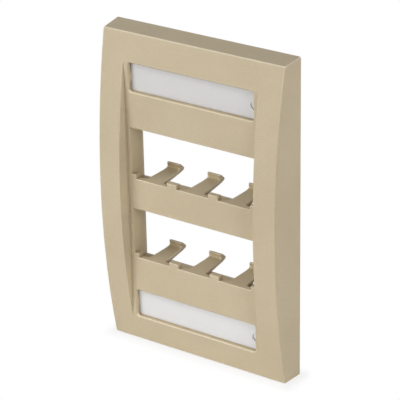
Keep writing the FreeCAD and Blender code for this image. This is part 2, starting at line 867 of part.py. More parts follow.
parts = [faceplate]
for place, middle in (("lower", LOWER_LABEL), ("upper", "(screw_spacing / 2)")):
    parts.append(label_cover(place + "_label_cover", middle))
    parts.append(paper_label(place + "_label", middle))
    parts.append(mounting_screw(place + "_mounting_screw", middle))

os.makedirs("parts", exist_ok=True)
for part in checked(parts):
    part.Shape.exportStep("parts/%s.step" % part.Label)
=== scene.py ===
# %% [markdown]
# # A jack faceplate in soft studio light
#
# The built model gives the shape: a bowed, beige moulding with six latch arms, two clear
# covers, two paper labels and two mounting screws. This lesson dresses it. X runs to the
# right, Y into the wall and Z up, all in metres, and the wall plane is at Y = 0.

import math

import bmesh
import bpy
from mathutils import Matrix, Vector


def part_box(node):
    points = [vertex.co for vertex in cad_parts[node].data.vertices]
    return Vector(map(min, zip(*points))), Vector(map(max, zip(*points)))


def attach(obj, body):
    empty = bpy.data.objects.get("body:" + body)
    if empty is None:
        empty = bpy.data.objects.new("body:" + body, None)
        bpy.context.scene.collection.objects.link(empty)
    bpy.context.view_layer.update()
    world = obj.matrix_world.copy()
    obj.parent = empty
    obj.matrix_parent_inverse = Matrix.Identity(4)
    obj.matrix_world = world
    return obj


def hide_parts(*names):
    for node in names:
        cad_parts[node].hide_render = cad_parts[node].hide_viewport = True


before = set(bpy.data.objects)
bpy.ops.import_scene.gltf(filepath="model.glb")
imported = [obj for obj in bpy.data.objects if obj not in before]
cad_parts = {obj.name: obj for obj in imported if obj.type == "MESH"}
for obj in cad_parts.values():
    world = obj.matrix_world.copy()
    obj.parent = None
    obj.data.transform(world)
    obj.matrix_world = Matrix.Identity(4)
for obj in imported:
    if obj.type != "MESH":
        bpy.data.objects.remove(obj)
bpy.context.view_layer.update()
scene = bpy.context.scene
scene.view_settings.view_transform = "Standard"

MM = 0.001
moulding_low, moulding_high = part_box("faceplate")
print("Faceplate, mm:", [round(side / MM, 2) for side in moulding_high - moulding_low])

# %% [markdown]
# ## Building nodes with less writing
#
# A material is a small graph. `Graph` adds a node, sets its sockets and links them, so each
# material below reads as one step after another. A socket is set to a number, a colour or
# the output of another node.

# %% A helper for node graphs
class Graph:
    """Adds linked nodes to one node tree."""

    def __init__(self, tree):
        self.tree = tree

    def set(self, socket, value):
        """Link an output to a socket, or give the socket a constant."""
        if isinstance(value, bpy.types.NodeSocket):
            self.tree.links.new(value, socket)
        else:
            socket.default_value = value

    def add(self, kind, inputs=None, **settings):
        """Add a node, apply its settings and fill its inputs by name or number."""
        node = self.tree.nodes.new(kind)
        for name, value in settings.items():
            setattr(node, name, value)
        for key, value in (inputs or {}).items():
            self.set(node.inputs[key], value)
        return node

    def maths(self, operation, first, second=0.0, clamp=False):
        """The result of one arithmetic step."""
        node = self.add("ShaderNodeMath", {0: first, 1: second}, operation=operation)
        node.use_clamp = clamp
        return node.outputs[0]

    def vector(self, operation, first, second=(0, 0, 0)):
        """The result of one step with vectors."""
        return self.add("ShaderNodeVectorMath", {0: first, 1: second}, operation=operation).outputs[0]

    def length(self, vector):
        """The length of a vector."""
        return self.add("ShaderNodeVectorMath", {0: vector}, operation="LENGTH").outputs["Value"]

    def axis(self, vector, letter):
        """A vector's share along X, Y or Z."""
        return self.add("ShaderNodeSeparateXYZ", {0: vector}).outputs[letter]

    def stretch(self, vector, scale):
        """A place with each axis scaled; a small scale draws a pattern out along it."""
        return self.add("ShaderNodeMapping", {"Vector": vector, "Scale": scale}).outputs[0]

    def ramp(self, value, low, high, to_low=0.0, to_high=1.0):
        """A smooth step from to_low to to_high while value runs from low to high."""
        inputs = {"Value": value, "From Min": low, "From Max": high}
        inputs.update({"To Min": to_low, "To Max": to_high})
        return self.add("ShaderNodeMapRange", inputs, interpolation_type="SMOOTHSTEP").outputs[0]

    def between(self, share, first, second):
        """A number that runs from first to second while share runs from 0 to 1."""
        return self.ramp(share, 0.0, 1.0, first, second)

    def noise(self, place, scale, detail, roughness):
        """Smooth noise between 0 and 1."""
        inputs = {"Vector": place, "Scale": scale, "Detail": detail, "Roughness": roughness}
        return self.add("ShaderNodeTexNoise", inputs).outputs["Fac"]

    def bump(self, height, strength, depth):
        """A normal that follows a height between 0 and 1 of a given depth."""
        inputs = {"Strength": strength, "Distance": depth, "Height": height}
        return self.add("ShaderNodeBump", inputs).outputs[0]

    def blend(self, share, first, second):
        """A colour between two others."""
        node = self.add("ShaderNodeMix", data_type="RGBA")
        self.set(node.inputs["Factor"], share)
        self.set(node.inputs["A"], first)
        self.set(node.inputs["B"], second)
        return node.outputs["Result"]

    def mix(self, share, first, second):
        """A mix of the shaders of two nodes."""
        inputs = {0: share, 1: first.outputs[0], 2: second.outputs[0]}
        return self.add("ShaderNodeMixShader", inputs)


def new_group(name, inputs, outputs):
    """A node group with named sockets; returns its graph, its input node and its output node."""
    tree = bpy.data.node_groups.new(name, "ShaderNodeTree")
    for direction, sockets in (("INPUT", inputs), ("OUTPUT", outputs)):
        for socket_name, kind in sockets.items():
            tree.interface.new_socket(socket_name, in_out=direction, socket_type="NodeSocket" + kind)
    graph = Graph(tree)
    return graph, graph.add("NodeGroupInput"), graph.add("NodeGroupOutput")


def new_material(name):
    """An empty material, its graph and its output node."""
    material = bpy.data.materials.new(name)
    material.use_nodes = True
    material.node_tree.nodes.clear()
    graph = Graph(material.node_tree)
    return material, graph, graph.add("ShaderNodeOutputMaterial")


# %% [markdown]
# ## Effects that several materials share
#
# `grain` is the fine sparkle of a spark-eroded mould: two sizes of noise turned into a
# bump. `mottle` is a slow drift in tone, as in any large moulding. `specks` marks a few
# tiny dark flecks. Each could be drawn anew in every material, but a group is written once
# and then used with other sizes. It gives out only a mask, a value or a normal.

# %% Shared effect: fine grain
FINE_PER_COARSE = 2.7
COARSE_SHARE = 0.65


def grain_group():
    """A bump of two sizes of noise; Size is the larger pitch in metres."""
    graph, given, result = new_group(
        "grain",
        {"Place": "Vector", "Size": "Float", "Depth": "Float", "Strength": "Float", "Normal": "Vector"},
        {"Normal": "Vector", "Height": "Float"},
    )
    place = given.outputs["Place"]
    coarse_scale = graph.maths("DIVIDE", 1.0, given.outputs["Size"])
    fine_scale = graph.maths("MULTIPLY", coarse_scale, FINE_PER_COARSE)
    coarse = graph.noise(place, coarse_scale, detail=2.0, roughness=0.6)
    fine = graph.noise(place, fine_scale, detail=2.0, roughness=0.6)
    coarse_part = graph.maths("MULTIPLY", coarse, COARSE_SHARE)
    fine_part = graph.maths("MULTIPLY", fine, 1.0 - COARSE_SHARE)
    height = graph.maths("ADD", coarse_part, fine_part)
    bump = graph.add(
        "ShaderNodeBump",
        {
            "Strength": given.outputs["Strength"],
            "Distance": given.outputs["Depth"],
            "Height": height,
            "Normal": given.outputs["Normal"],
        },
    )
    graph.set(result.inputs["Normal"], bump.outputs[0])
    graph.set(result.inputs["Height"], height)
    return graph.tree


# %% Shared effect: slow mottle
MOTTLE_RANGE = (0.3, 0.7)


def mottle_group():
    """A slow drift between 0 and 1 over a given size in metres."""
    graph, given, result = new_group("mottle", {"Place": "Vector", "Size": "Float"}, {"Share": "Float"})
    scale = graph.maths("DIVIDE", 1.0, given.outputs["Size"])
    slow = graph.noise(given.outputs["Place"], scale, detail=3.0, roughness=0.45)
    graph.set(result.inputs["Share"], graph.ramp(slow, *MOTTLE_RANGE))
    return graph.tree


# %% Shared effect: sparse specks
def specks_group():
    """A mask that is 1 on a few small round flecks and 0 elsewhere."""
    graph, given, result = new_group(
        "specks",
        {"Place": "Vector", "Spacing": "Float", "Radius": "Float", "Share kept": "Float"},
        {"Mask": "Float"},
    )
    scale = graph.maths("DIVIDE", 1.0, given.outputs["Spacing"])
    cells = graph.add("ShaderNodeTexVoronoi", {"Vector": given.outputs["Place"], "Scale": scale})
    distance = graph.maths("DIVIDE", cells.outputs["Distance"], scale)
    chance = graph.add("ShaderNodeSeparateColor", {0: cells.outputs["Color"]}).outputs[0]
    kept = graph.maths("LESS_THAN", chance, given.outputs["Share kept"])
    near = graph.maths("LESS_THAN", distance, given.outputs["Radius"])
    graph.set(result.inputs["Mask"], graph.maths("MULTIPLY", near, kept))
    return graph.tree


# %% Use the shared effects
GRAIN = grain_group()
MOTTLE = mottle_group()
SPECKS = specks_group()
print("Shared effects:", [tree.name for tree in (GRAIN, MOTTLE, SPECKS)])


def use_group(graph, group, inputs):
    """Add a group to a graph and return its outputs."""
    return graph.add("ShaderNodeGroup", inputs, node_tree=group).outputs


def mottle(graph, place, size):
    """The slow drift of one graph."""
    return use_group(graph, MOTTLE, {"Place": place, "Size": size})["Share"]


def object_place(graph):
    """A point's place in the shared frame, in metres."""
    return graph.add("ShaderNodeTexCoord").outputs["Object"]


def surface_normal(graph):
    """The direction in which a surface looks."""
    return graph.add("ShaderNodeTexCoord").outputs["Normal"]


# %% [markdown]
# ## The moulding: grained or smooth
#
# The plate is one beige moulding. Its outer faces have the matte grain of the mould. Inside
# the port windows, on the latch arms and behind the plate the mould was only drawn smooth,
# so the grain is weaker and the surface a little glossier there. Each face could get a
# material of its own, but the model is one piece, so one mask is worked out from a point's
# place. A pair of numbers says where a change starts and where it is complete.

# %% Where the mould was drawn smooth
INSIDE_DEPTH = (-10.1 * MM, -9.8 * MM)
OUTER_SIDE = (33.0 * MM, 33.4 * MM)
OUTER_END = (46.8 * MM, 47.2 * MM)
LOOKS_BACK = (0.1, 0.5)


def smooth_share(graph, place):
    """1 where the mould was only drawn smooth, 0 on the grained outer faces."""
    inside = graph.ramp(graph.axis(place, "Y"), *INSIDE_DEPTH)
    on_side = graph.ramp(graph.maths("ABSOLUTE", graph.axis(place, "X")), *OUTER_SIDE)
    on_end = graph.ramp(graph.maths("ABSOLUTE", graph.axis(place, "Z")), *OUTER_END)
    outer = graph.maths("MAXIMUM", on_side, on_end)
    looks_back = graph.ramp(graph.axis(surface_normal(graph), "Y"), *LOOKS_BACK)
    outer_front = graph.maths("MULTIPLY", outer, graph.maths("SUBTRACT", 1.0, looks_back))
    return graph.maths("SUBTRACT", inside, outer_front, clamp=True)


# %% [markdown]
# ## The moulding: edges and corners
#
# Every hard edge of a moulding is a little round and catches the light. A bevel in the mesh
# would change the model, so a bevel normal only shades the edges as if they were round.
# Edges that look upward get a painted highlight, and the inner corners get painted shade.
# How much of the plastic, or of the open air, lies close around a point tells edge from corner.

# %% Rounded edges, painted edge highlights and painted corner shade
EDGE_ROUNDING = 0.15 * MM
ARM_ROUNDING = 0.3 * MM
BEHIND_PANEL = (-8.15 * MM, -7.85 * MM)
EDGE_WIDTH = 0.6 * MM
EDGE_OPEN = (0.99, 0.8)
LOOKS_UP = (0.1, 0.4)
NOT_LEVEL = (0.99, 0.9)
CORNER_WIDTH = 1.6 * MM
CORNER_OPEN = (0.8, 0.45)
CORNER_SHARE = 0.5
BEVEL_SAMPLES = 6
OPEN_SAMPLES = 8


def rounded_normal(graph, place):
    """The normal of a surface whose hard edges are rounded, more so on the arms."""
    radius = graph.ramp(graph.axis(place, "Y"), *BEHIND_PANEL, EDGE_ROUNDING, ARM_ROUNDING)
    return graph.add("ShaderNodeBevel", {"Radius": radius}, samples=BEVEL_SAMPLES).outputs[0]


def open_share(graph, distance, inside):
    """How much is open close around a point: the air outside, or the plastic inside."""
    node = graph.add("ShaderNodeAmbientOcclusion", {"Distance": distance}, inside=inside)
    node.only_local = True
    node.samples = OPEN_SAMPLES
    return node.outputs["AO"]


def painted_edge_highlight(graph, rounded):
    """Where the edge highlight is painted: 1 on the hard edges that look upward, 0 elsewhere."""
    upward = graph.axis(rounded, "Z")
    tilted = graph.maths("MULTIPLY", graph.ramp(upward, *LOOKS_UP), graph.ramp(upward, *NOT_LEVEL))
    thin = graph.ramp(open_share(graph, EDGE_WIDTH, inside=True), *EDGE_OPEN)
    return graph.maths("MULTIPLY", thin, tilted)


def painted_corner_shade(graph):
    """The share of painted shade: 0 in the open, most in an inner corner."""
    return graph.ramp(open_share(graph, CORNER_WIDTH, inside=False), *CORNER_OPEN, 0.0, CORNER_SHARE)


# %% [markdown]
# ## The moulding: the plastic itself
#
# The tones are mixed in this order: the dyed plastic with its slow drift, a yellower
# painted shade on the inner faces, painted shade in the pits of the grain, the flecks,
# painted highlights on the upward edges and painted shade in the inner corners. A picture
# of plastic would show its seams and repeats, and these tones don't.

# %% Moulded plastic
PLASTIC = (0.610, 0.512, 0.352, 1.0)
PLASTIC_DEEP = (0.578, 0.482, 0.326, 1.0)
# Painted shade: a yellower, darker copy of the plastic for the shaded inner faces.
PLASTIC_INSIDE_PAINTED_SHADE = (0.600, 0.490, 0.310, 1.0)
PLASTIC_PIT = (0.480, 0.395, 0.262, 1.0)
# Painted highlight: the paler colour of the hard edges that look upward.
EDGE_PAINTED_HIGHLIGHT = (0.920, 0.830, 0.670, 1.0)
# Painted shade: the dark colour of the inner corners.
CORNER_PAINTED_SHADE = (0.300, 0.235, 0.150, 1.0)
PLASTIC_DRIFT = 22 * MM
GRAIN_PITCH = 0.75 * MM
GRAIN_DEPTH = 0.32 * MM
GRAIN_STRENGTH = (0.75, 0.2)
PIT_HEIGHT = (0.38, 0.62)
PIT_SHARE = 0.16
SPECK = (0.10, 0.08, 0.06, 1.0)
SPECK_SPACING = 9 * MM
SPECK_RADIUS = 0.16 * MM
SPECKS_KEPT = 0.06
SPECK_SHARE = 0.7
PLASTIC_ROUGHNESS = (0.50, 0.45)


def plastic_tone(graph, place, smooth, grain_height):
    """The plastic's colour with its drift and flecks, painted shade inside and in the grain's pits."""
    dyed = graph.blend(mottle(graph, place, PLASTIC_DRIFT), PLASTIC, PLASTIC_DEEP)
    # Painted shade on the inner faces.
    tone = graph.blend(smooth, dyed, PLASTIC_INSIDE_PAINTED_SHADE)
    pits = graph.ramp(grain_height, *PIT_HEIGHT, 0.0, PIT_SHARE)
    grained = graph.maths("SUBTRACT", 1.0, smooth)
    tone = graph.blend(graph.maths("MULTIPLY", pits, grained), tone, PLASTIC_PIT)
    flecks = {"Spacing": SPECK_SPACING, "Radius": SPECK_RADIUS, "Share kept": SPECKS_KEPT}
    specks = use_group(graph, SPECKS, {"Place": place, **flecks})["Mask"]
    return graph.blend(graph.maths("MULTIPLY", specks, SPECK_SHARE), tone, SPECK)


def moulded_plastic():
    """Matte beige plastic, grained outside and smooth inside."""
    material, graph, output = new_material("moulded_plastic")
    place = object_place(graph)
    rounded = rounded_normal(graph, place)
    smooth = smooth_share(graph, place)
    grain = use_group(
        graph,
        GRAIN,
        {
            "Place": place,
            "Size": GRAIN_PITCH,
            "Depth": GRAIN_DEPTH,
            "Strength": graph.between(smooth, *GRAIN_STRENGTH),
            "Normal": rounded,
        },
    )
    tone = plastic_tone(graph, place, smooth, grain["Height"])
    # Painted highlight on the upward edges.
    tone = graph.blend(painted_edge_highlight(graph, rounded), tone, EDGE_PAINTED_HIGHLIGHT)
    # Painted shade in the inner corners.
    tone = graph.blend(painted_corner_shade(graph), tone, CORNER_PAINTED_SHADE)
    shader = graph.add(
        "ShaderNodeBsdfPrincipled",
        {
            "Base Color": tone,
            "Roughness": graph.between(smooth, *PLASTIC_ROUGHNESS),
            "IOR": 1.5,
            "Specular IOR Level": 0.3,
            "Normal": grain["Normal"],
        },
    )
    graph.set(output.inputs["Surface"], shader.outputs[0])
    return material


# %% [markdown]
# ## The clear covers
#
# Each cover is a strip of polished acrylic that snaps in over a label. Glass alone would
# leave the paper behind it in the dark, because a lamp's light isn't traced straight through
# it. So shadow rays pass through, and so do the rays that bounce off the paper. A faint haze
# of fine scratches keeps the reflection from being perfect. The bevelled rim, the side walls
# and the thumbnail notch are frosted, so they show as a thin grey line and not as a clear
# view into the tray. The tongues at both ends get a pale beige, which is painted light: it
# hides the dark shade of the slots that they click into.

# %% Clear plastic
COVER_TINT = (0.99, 0.99, 0.99, 1.0)
COVER_SHADOW = (0.98, 0.98, 0.98, 1.0)
POLISHED = (0.75, 0.95)
SIDE_ROUGHNESS = 0.9
HAZE_ROUGHNESS = (0.02, 0.06)
HAZE_SIZE = 6 * MM
SCRATCH_STRETCH = (0.15, 1.0, 3.0)
SCRATCH_DEPTH = 0.02 * MM
RIM_GREY = (0.42, 0.40, 0.38, 1.0)
RIM_SHARE = 0.8
# Painted light: a pale tongue colour that hides the dark shade in the slots.
TONGUE_PAINTED_LIGHT = (0.66, 0.60, 0.50, 1.0)
TONGUE_LENGTH = 0.9 * MM
TONGUE_FADE = 0.05 * MM
COVER_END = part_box("upper_label_cover")[1].x - TONGUE_LENGTH


def clear_plastic():
    """Clear, slightly hazy plastic that lets light through to the label."""
    material, graph, output = new_material("clear_plastic")
    place = object_place(graph)
    facing = graph.maths("ABSOLUTE", graph.axis(surface_normal(graph), "Y"))
    polish = graph.ramp(facing, *POLISHED)
    face_roughness = graph.between(mottle(graph, place, HAZE_SIZE), *HAZE_ROUGHNESS)
    drawn = graph.stretch(place, SCRATCH_STRETCH)
    scratches = graph.noise(drawn, scale=900.0, detail=4.0, roughness=0.7)
    glass = graph.add(
        "ShaderNodeBsdfPrincipled",
        {
            "Base Color": COVER_TINT,
            "Roughness": graph.between(polish, SIDE_ROUGHNESS, face_roughness),
            "IOR": 1.49,
            "Transmission Weight": 1.0,
            "Normal": graph.bump(scratches, strength=0.03, depth=SCRATCH_DEPTH),
        },
    )
    off_middle = graph.maths("ABSOLUTE", graph.axis(place, "X"))
    tongue = graph.ramp(off_middle, COVER_END - TONGUE_FADE, COVER_END)
    rim = graph.maths("MAXIMUM", graph.between(polish, RIM_SHARE, 0.0), tongue)
    # The rim is frosted grey; the tongues get the pale painted-light colour.
    frosted = graph.add("ShaderNodeBsdfDiffuse", {"Color": graph.blend(tongue, RIM_GREY, TONGUE_PAINTED_LIGHT)})
    body = graph.mix(rim, glass, frosted)
    path = graph.add("ShaderNodeLightPath").outputs
    from_light = graph.maths("MAXIMUM", path["Is Shadow Ray"], path["Is Diffuse Ray"])
    shadow = graph.add("ShaderNodeBsdfTransparent", {"Color": COVER_SHADOW})
    graph.set(output.inputs["Surface"], graph.mix(from_light, body, shadow).outputs[0])
    return material


# %% [markdown]
# ## The paper labels
#
# The labels are plain card: nearly white, with short fibres in the tone and in the bump.
# Fibres could be hairs on the sheet, but at this size a noise that is drawn out sideways
# looks the same. The lower strip is painted a little whiter than the upper one, for the
# brighter light that falls on it, and one material serves both by a point's height.

# %% Label card
CARD_UPPER = (0.705, 0.695, 0.695, 1.0)
# Painted light: the lower strip is whiter for the brighter light on it.
CARD_LOWER_PAINTED_LIGHT = (0.815, 0.812, 0.812, 1.0)
CARD_FIBRE = (0.62, 0.62, 0.62, 1.0)
CARD_CLOUD = 5 * MM
FIBRE_STRETCH = (0.25, 1.0, 1.0)
FIBRE_DEPTH = 0.03 * MM
FIBRE_SHARE = 0.12


def label_card():
    """Blank white card with faint fibres; the lower strip is painted whiter for its brighter light."""
    material, graph, output = new_material("label_card")
    place = object_place(graph)
    drawn = graph.stretch(place, FIBRE_STRETCH)
    fibres = graph.noise(drawn, scale=2600.0, detail=5.0, roughness=0.65)
    even = graph.maths("ADD", fibres, mottle(graph, place, CARD_CLOUD))
    fibre_share = graph.maths("MULTIPLY", even, FIBRE_SHARE / 2)
    low = graph.maths("LESS_THAN", graph.axis(place, "Z"), 0.0)
    # The lower strip gets the whiter, painted-light colour.
    sheet = graph.blend(low, CARD_UPPER, CARD_LOWER_PAINTED_LIGHT)
    shader = graph.add(
        "ShaderNodeBsdfPrincipled",
        {
            "Base Color": graph.blend(fibre_share, sheet, CARD_FIBRE),
            "Roughness": 0.75,
            "Specular IOR Level": 0.25,
            "Normal": graph.bump(fibres, strength=0.2, depth=FIBRE_DEPTH),
        },
    )
    graph.set(output.inputs["Surface"], shader.outputs[0])
    return material


# %% [markdown]
# ## The screws' metal
#
# Zinc-plated steel: a cool grey with cloudy plating and fine turning marks round the axis.
# The roots of the thread are coloured much darker than the crests. The roots could
# be marked face by face, but how far a point is from the screw's axis tells crest from root
# as well, and one material serves both screws.

# %% Zinc-plated steel
ZINC = (0.62, 0.62, 0.60, 1.0)
ZINC_CLOUD = (0.50, 0.51, 0.52, 1.0)
ZINC_ROOT = (0.14, 0.13, 0.12, 1.0)
ZINC_ROUGHNESS = (0.28, 0.42)
CLOUD_SIZE = 1.6 * MM
TURNING_STRETCH = (1.0, 30.0, 1.0)
TURNING_DEPTH = 0.01 * MM
THREAD_RADIUS = 1.75 * MM
THREAD_ROOT = 1.33 * MM
THREAD_START = -0.5 * MM
RUN_IN = 0.9 * MM
CREST_MARGIN = 0.08 * MM
ROOT_MARGIN = 0.02 * MM
BARE_TIP = (0.05 * MM, 0.3 * MM)
screw_low, screw_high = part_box("upper_mounting_screw")
SCREW_HEIGHT = (screw_low.z + screw_high.z) / 2


def thread_root(graph, place):
    """1 in the roots of the thread, 0 on its crests, the head, the neck and the tip."""
    along = graph.axis(place, "Y")
    above_axis = graph.maths("SUBTRACT", graph.maths("ABSOLUTE", graph.axis(place, "Z")), SCREW_HEIGHT)
    across = graph.add("ShaderNodeCombineXYZ", {"X": graph.axis(place, "X"), "Z": above_axis})
    radius = graph.length(across.outputs[0])
    root = graph.ramp(radius, THREAD_RADIUS - CREST_MARGIN, THREAD_ROOT + ROOT_MARGIN)
    past_neck = graph.ramp(along, THREAD_START, THREAD_START + RUN_IN)
    before_tip = graph.ramp(along, *[screw_high.y - bare for bare in BARE_TIP])
    return graph.maths("MULTIPLY", root, graph.maths("MULTIPLY", past_neck, before_tip))


def plated_steel():
    """Zinc plate over turned steel."""
    material, graph, output = new_material("plated_steel")
    place = object_place(graph)
    cloud = mottle(graph, place, CLOUD_SIZE)
    drawn = graph.stretch(place, TURNING_STRETCH)
    marks = graph.noise(drawn, scale=700.0, detail=3.0, roughness=0.6)
    plated = graph.blend(cloud, ZINC, ZINC_CLOUD)
    shader = graph.add(
        "ShaderNodeBsdfPrincipled",
        {
            "Base Color": graph.blend(thread_root(graph, place), plated, ZINC_ROOT),
            "Metallic": 1.0,
            "Roughness": graph.between(cloud, *ZINC_ROUGHNESS),
            "Normal": graph.bump(marks, strength=0.15, depth=TURNING_DEPTH),
        },
    )
    graph.set(output.inputs["Surface"], shader.outputs[0])
    return material


# %% [markdown]
# ## Dress the built pieces
#
# The moulding and the covers keep their own shape and only get a material. The labels and
# the screws are replaced further down, so their new pieces get theirs there.

# %% Give the moulding and the covers their materials
def dress(node, material):
    """Put one material on every slot of a node of the built model."""
    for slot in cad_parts[node].material_slots:
        slot.material = material
    print("Dressed:", node, "in", material.name)


CLEAR = clear_plastic()
dress("faceplate", moulded_plastic())
for row in ("upper", "lower"):
    dress(row + "_label_cover", CLEAR)

# %% [markdown]
# ## New pieces from a bmesh
#
# A piece starts as a bmesh, which can be shaped step by step, and then becomes an object.
# Boxes come up twice below, so a box is a helper too. Its size and place go into the mesh,
# because a finished piece's object sits at the origin, unturned and unscaled.

# %% Helpers for new pieces
def box_mesh(size, middle):
    """A bmesh of a box of a given size round a given point."""
    mesh = bmesh.new()
    bmesh.ops.create_cube(mesh, size=1.0)
    stretch = Matrix.Diagonal((*size, 1.0))
    bmesh.ops.transform(mesh, matrix=Matrix.Translation(middle) @ stretch, verts=mesh.verts)
    return mesh


def add_piece(name, mesh, material=None):
    """Turn a bmesh into an object in the scene."""
    data = bpy.data.meshes.new(name)
    mesh.to_mesh(data)
    mesh.free()
    if material:
        data.materials.append(material)
    piece = bpy.data.objects.new(name, data)
    scene.collection.objects.link(piece)
    return piece


# %% [markdown]
# ## Label strips that reach the wall of the tray
#
# The built strips end short of the tray's right wall. In the photograph the card goes up
# to the wall. A built strip could be stretched, but built pieces aren't changed, so each is
# replaced by one that fills the tray from wall to wall: a box with its four corners cut
# round.

# %% Label strips
CARD = label_card()
STRIP_LENGTH = 47.5 * MM
STRIP_CORNER = 0.9 * MM
CORNER_SEGMENTS = 6


def label_strip(row):
    """A longer card strip in the place of a built one."""
    node = row + "_label"
    low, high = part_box(node)
    thickness = high.y - low.y
    middle = Vector((0, (low.y + high.y) / 2, (low.z + high.z) / 2))
    mesh = box_mesh((STRIP_LENGTH, thickness, high.z - low.z), middle)
    corners = []
    for edge in mesh.edges:
        first, second = edge.verts
        if abs(first.co.y - second.co.y) > thickness / 2:
            corners.append(edge)
    rounding = {"offset": STRIP_CORNER, "segments": CORNER_SEGMENTS, "profile": 0.5, "material": -1}
    bmesh.ops.bevel(mesh, geom=corners, affect="EDGES", **rounding)
    strip = add_piece(row + "_card_strip", mesh, CARD)
    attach(strip, "root")
    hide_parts(node)
    print("%s: %.1f mm long instead of %.1f mm" % (strip.name, STRIP_LENGTH / MM, (high.x - low.x) / MM))


for row in ("upper", "lower"):
    label_strip(row)

# %% [markdown]
# ## Screws with a real thread
#
# The built screws have plain shanks. Each is replaced by a turned screw with a slotted oval
# head and a helical thread. A profile could be spun into a helix, but its two open ends
# would have to be closed by hand. So the screw is a grid wrapped round the axis, closed from
# the start: the radius of a point on the shank depends on how far that point is from the
# nearest root of the helix.

# %% The screw's head
HEAD_RADIUS = 3.45 * MM
HEAD_RIM = 0.25 * MM
HEAD_DOME = 0.5 * MM
HEAD_ANGLE = math.radians(82.0)
NECK_RADIUS = 1.45 * MM
DOME_STEPS = 8


def head_profile(front):
    """Distance along the axis and radius, from the top of the dome down to the neck."""
    ball = (HEAD_RADIUS ** 2 + HEAD_DOME ** 2) / (2 * HEAD_DOME)
    profile = []
    for step in range(1, DOME_STEPS + 1):
        radius = HEAD_RADIUS * step / DOME_STEPS
        profile.append((front + ball - math.sqrt(ball ** 2 - radius ** 2), radius))
    cone = (HEAD_RADIUS - NECK_RADIUS) / math.tan(HEAD_ANGLE / 2)
    seat = front + HEAD_DOME + HEAD_RIM
    profile.append((seat, HEAD_RADIUS))
    profile.append((seat + cone, NECK_RADIUS))
    return profile


# %% The screw's thread
INCH = 25.4 * MM
THREADS_PER_INCH = 32
THREAD_PITCH = INCH / THREADS_PER_INCH
FLANK_SLOPE = 1.25
ROOT_WIDTH = 0.12
POINT = 0.6 * MM


def thread_radius(along, turn, tip):
    """The radius of the threaded shank at a distance along the axis and a turn from 0 to 1."""
    from_root = abs((along / THREAD_PITCH - turn) % 1.0 - 0.5) * 2
    ridge = min(1.0, max(0.0, FLANK_SLOPE * from_root - ROOT_WIDTH))
    fade = min(1.0, max(0.0, (along - THREAD_START) / RUN_IN))
    root = NECK_RADIUS + (THREAD_ROOT - NECK_RADIUS) * fade
    chamfer = THREAD_RADIUS - max(0.0, along - (tip - POINT))
    return min(root + (THREAD_RADIUS - root) * ridge * fade, chamfer)


# %% The whole screw
TURN_STEPS = 48
STEPS_PER_PITCH = 10


def add_ring(mesh, centre, along, radii):
    """A ring of vertices round the axis at one distance along it."""
    ring = []
    for step, radius in enumerate(radii):
        angle = 2 * math.pi * step / len(radii)
        corner = (radius * math.cos(angle), along, centre + radius * math.sin(angle))
        ring.append(mesh.verts.new(corner))
    return ring


def screw_mesh(centre, front, tip):
    """A closed bmesh of a whole screw round the line at height centre."""
    mesh = bmesh.new()
    rings = []
    for along, radius in head_profile(front):
        rings.append(add_ring(mesh, centre, along, [radius] * TURN_STEPS))
    rows = math.ceil((tip - THREAD_START) / THREAD_PITCH * STEPS_PER_PITCH)
    for row in range(rows + 1):
        along = THREAD_START + (tip - THREAD_START) * row / rows
        radii = [thread_radius(along, step / TURN_STEPS, tip) for step in range(TURN_STEPS)]
        rings.append(add_ring(mesh, centre, along, radii))
    for first, second in zip(rings, rings[1:]):
        for step in range(TURN_STEPS):
            following = (step + 1) % TURN_STEPS
            mesh.faces.new((first[step], first[following], second[following], second[step]))
    mesh.faces.new(rings[0][::-1])
    mesh.faces.new(rings[-1])
    bmesh.ops.recalc_face_normals(mesh, faces=mesh.faces)
    for face in mesh.faces:
        face.smooth = len(face.verts) == 4
    return mesh


# %% The driver slot, and both screws
STEEL = plated_steel()
SLOT_WIDTH = 1.0 * MM
SLOT_DEPTH = 0.8 * MM


def cut_slot(screw, centre, front):
    """Saw the driver slot across the head."""
    saw = box_mesh((4 * HEAD_RADIUS, 2 * SLOT_DEPTH, SLOT_WIDTH), (0, front, centre))
    blade = add_piece("saw", saw)
    cut = screw.modifiers.new("slot", "BOOLEAN")
    cut.object = blade
    cut.operation = "DIFFERENCE"
    cut.solver = "EXACT"
    evaluated = screw.evaluated_get(bpy.context.evaluated_depsgraph_get())
    finished = bpy.data.meshes.new_from_object(evaluated)
    screw.modifiers.clear()
    screw.data = finished
    bpy.data.objects.remove(blade)


def threaded_screw(row):
    """A detailed screw in the place of a built one."""
    node = row + "_mounting_screw"
    low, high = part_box(node)
    centre = (low.z + high.z) / 2
    screw = add_piece(row + "_threaded_screw", screw_mesh(centre, low.y, high.y))
    cut_slot(screw, centre, low.y)
    screw.data.name = screw.name
    screw.data.materials.clear()
    screw.data.materials.append(STEEL)
    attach(screw, "root")
    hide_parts(node)
    print("%s: %d faces" % (screw.name, len(screw.data.polygons)))


for row in ("upper", "lower"):
    threaded_screw(row)

# %% [markdown]
# ## Floor
#
# The plate stands on its lower rim. A plain white floor would lose the contact shadow, and
# a painted one would show its horizon. So the floor is real close to the rim and takes the
# soft shadow there, and further out it turns into the same clean white as the background.
# How far a point is from the rim is worked out as for a box: the part of the offset that
# reaches past half the rim's size, sideways and in depth.

# %% Floor paint
RIM_DEPTH = 8.4 * MM
WHITE_AT_RIM = 0.8
WHITE_ENDS = 5.0 * MM
FLOOR_PALE = (0.92, 0.92, 0.92, 1.0)
FLOOR_DIM = (0.90, 0.90, 0.90, 1.0)
FLOOR_DRIFT = 60 * MM
WHITE = (1.0, 1.0, 1.0, 1.0)


def seen_directly(graph):
    """1 for what the camera sees, also by a mirror or through glass, 0 for light on the part."""
    path = graph.add("ShaderNodeLightPath").outputs
    mirrored = graph.maths("MAXIMUM", path["Is Glossy Ray"], path["Is Transmission Ray"])
    return graph.maths("MAXIMUM", path["Is Camera Ray"], mirrored)


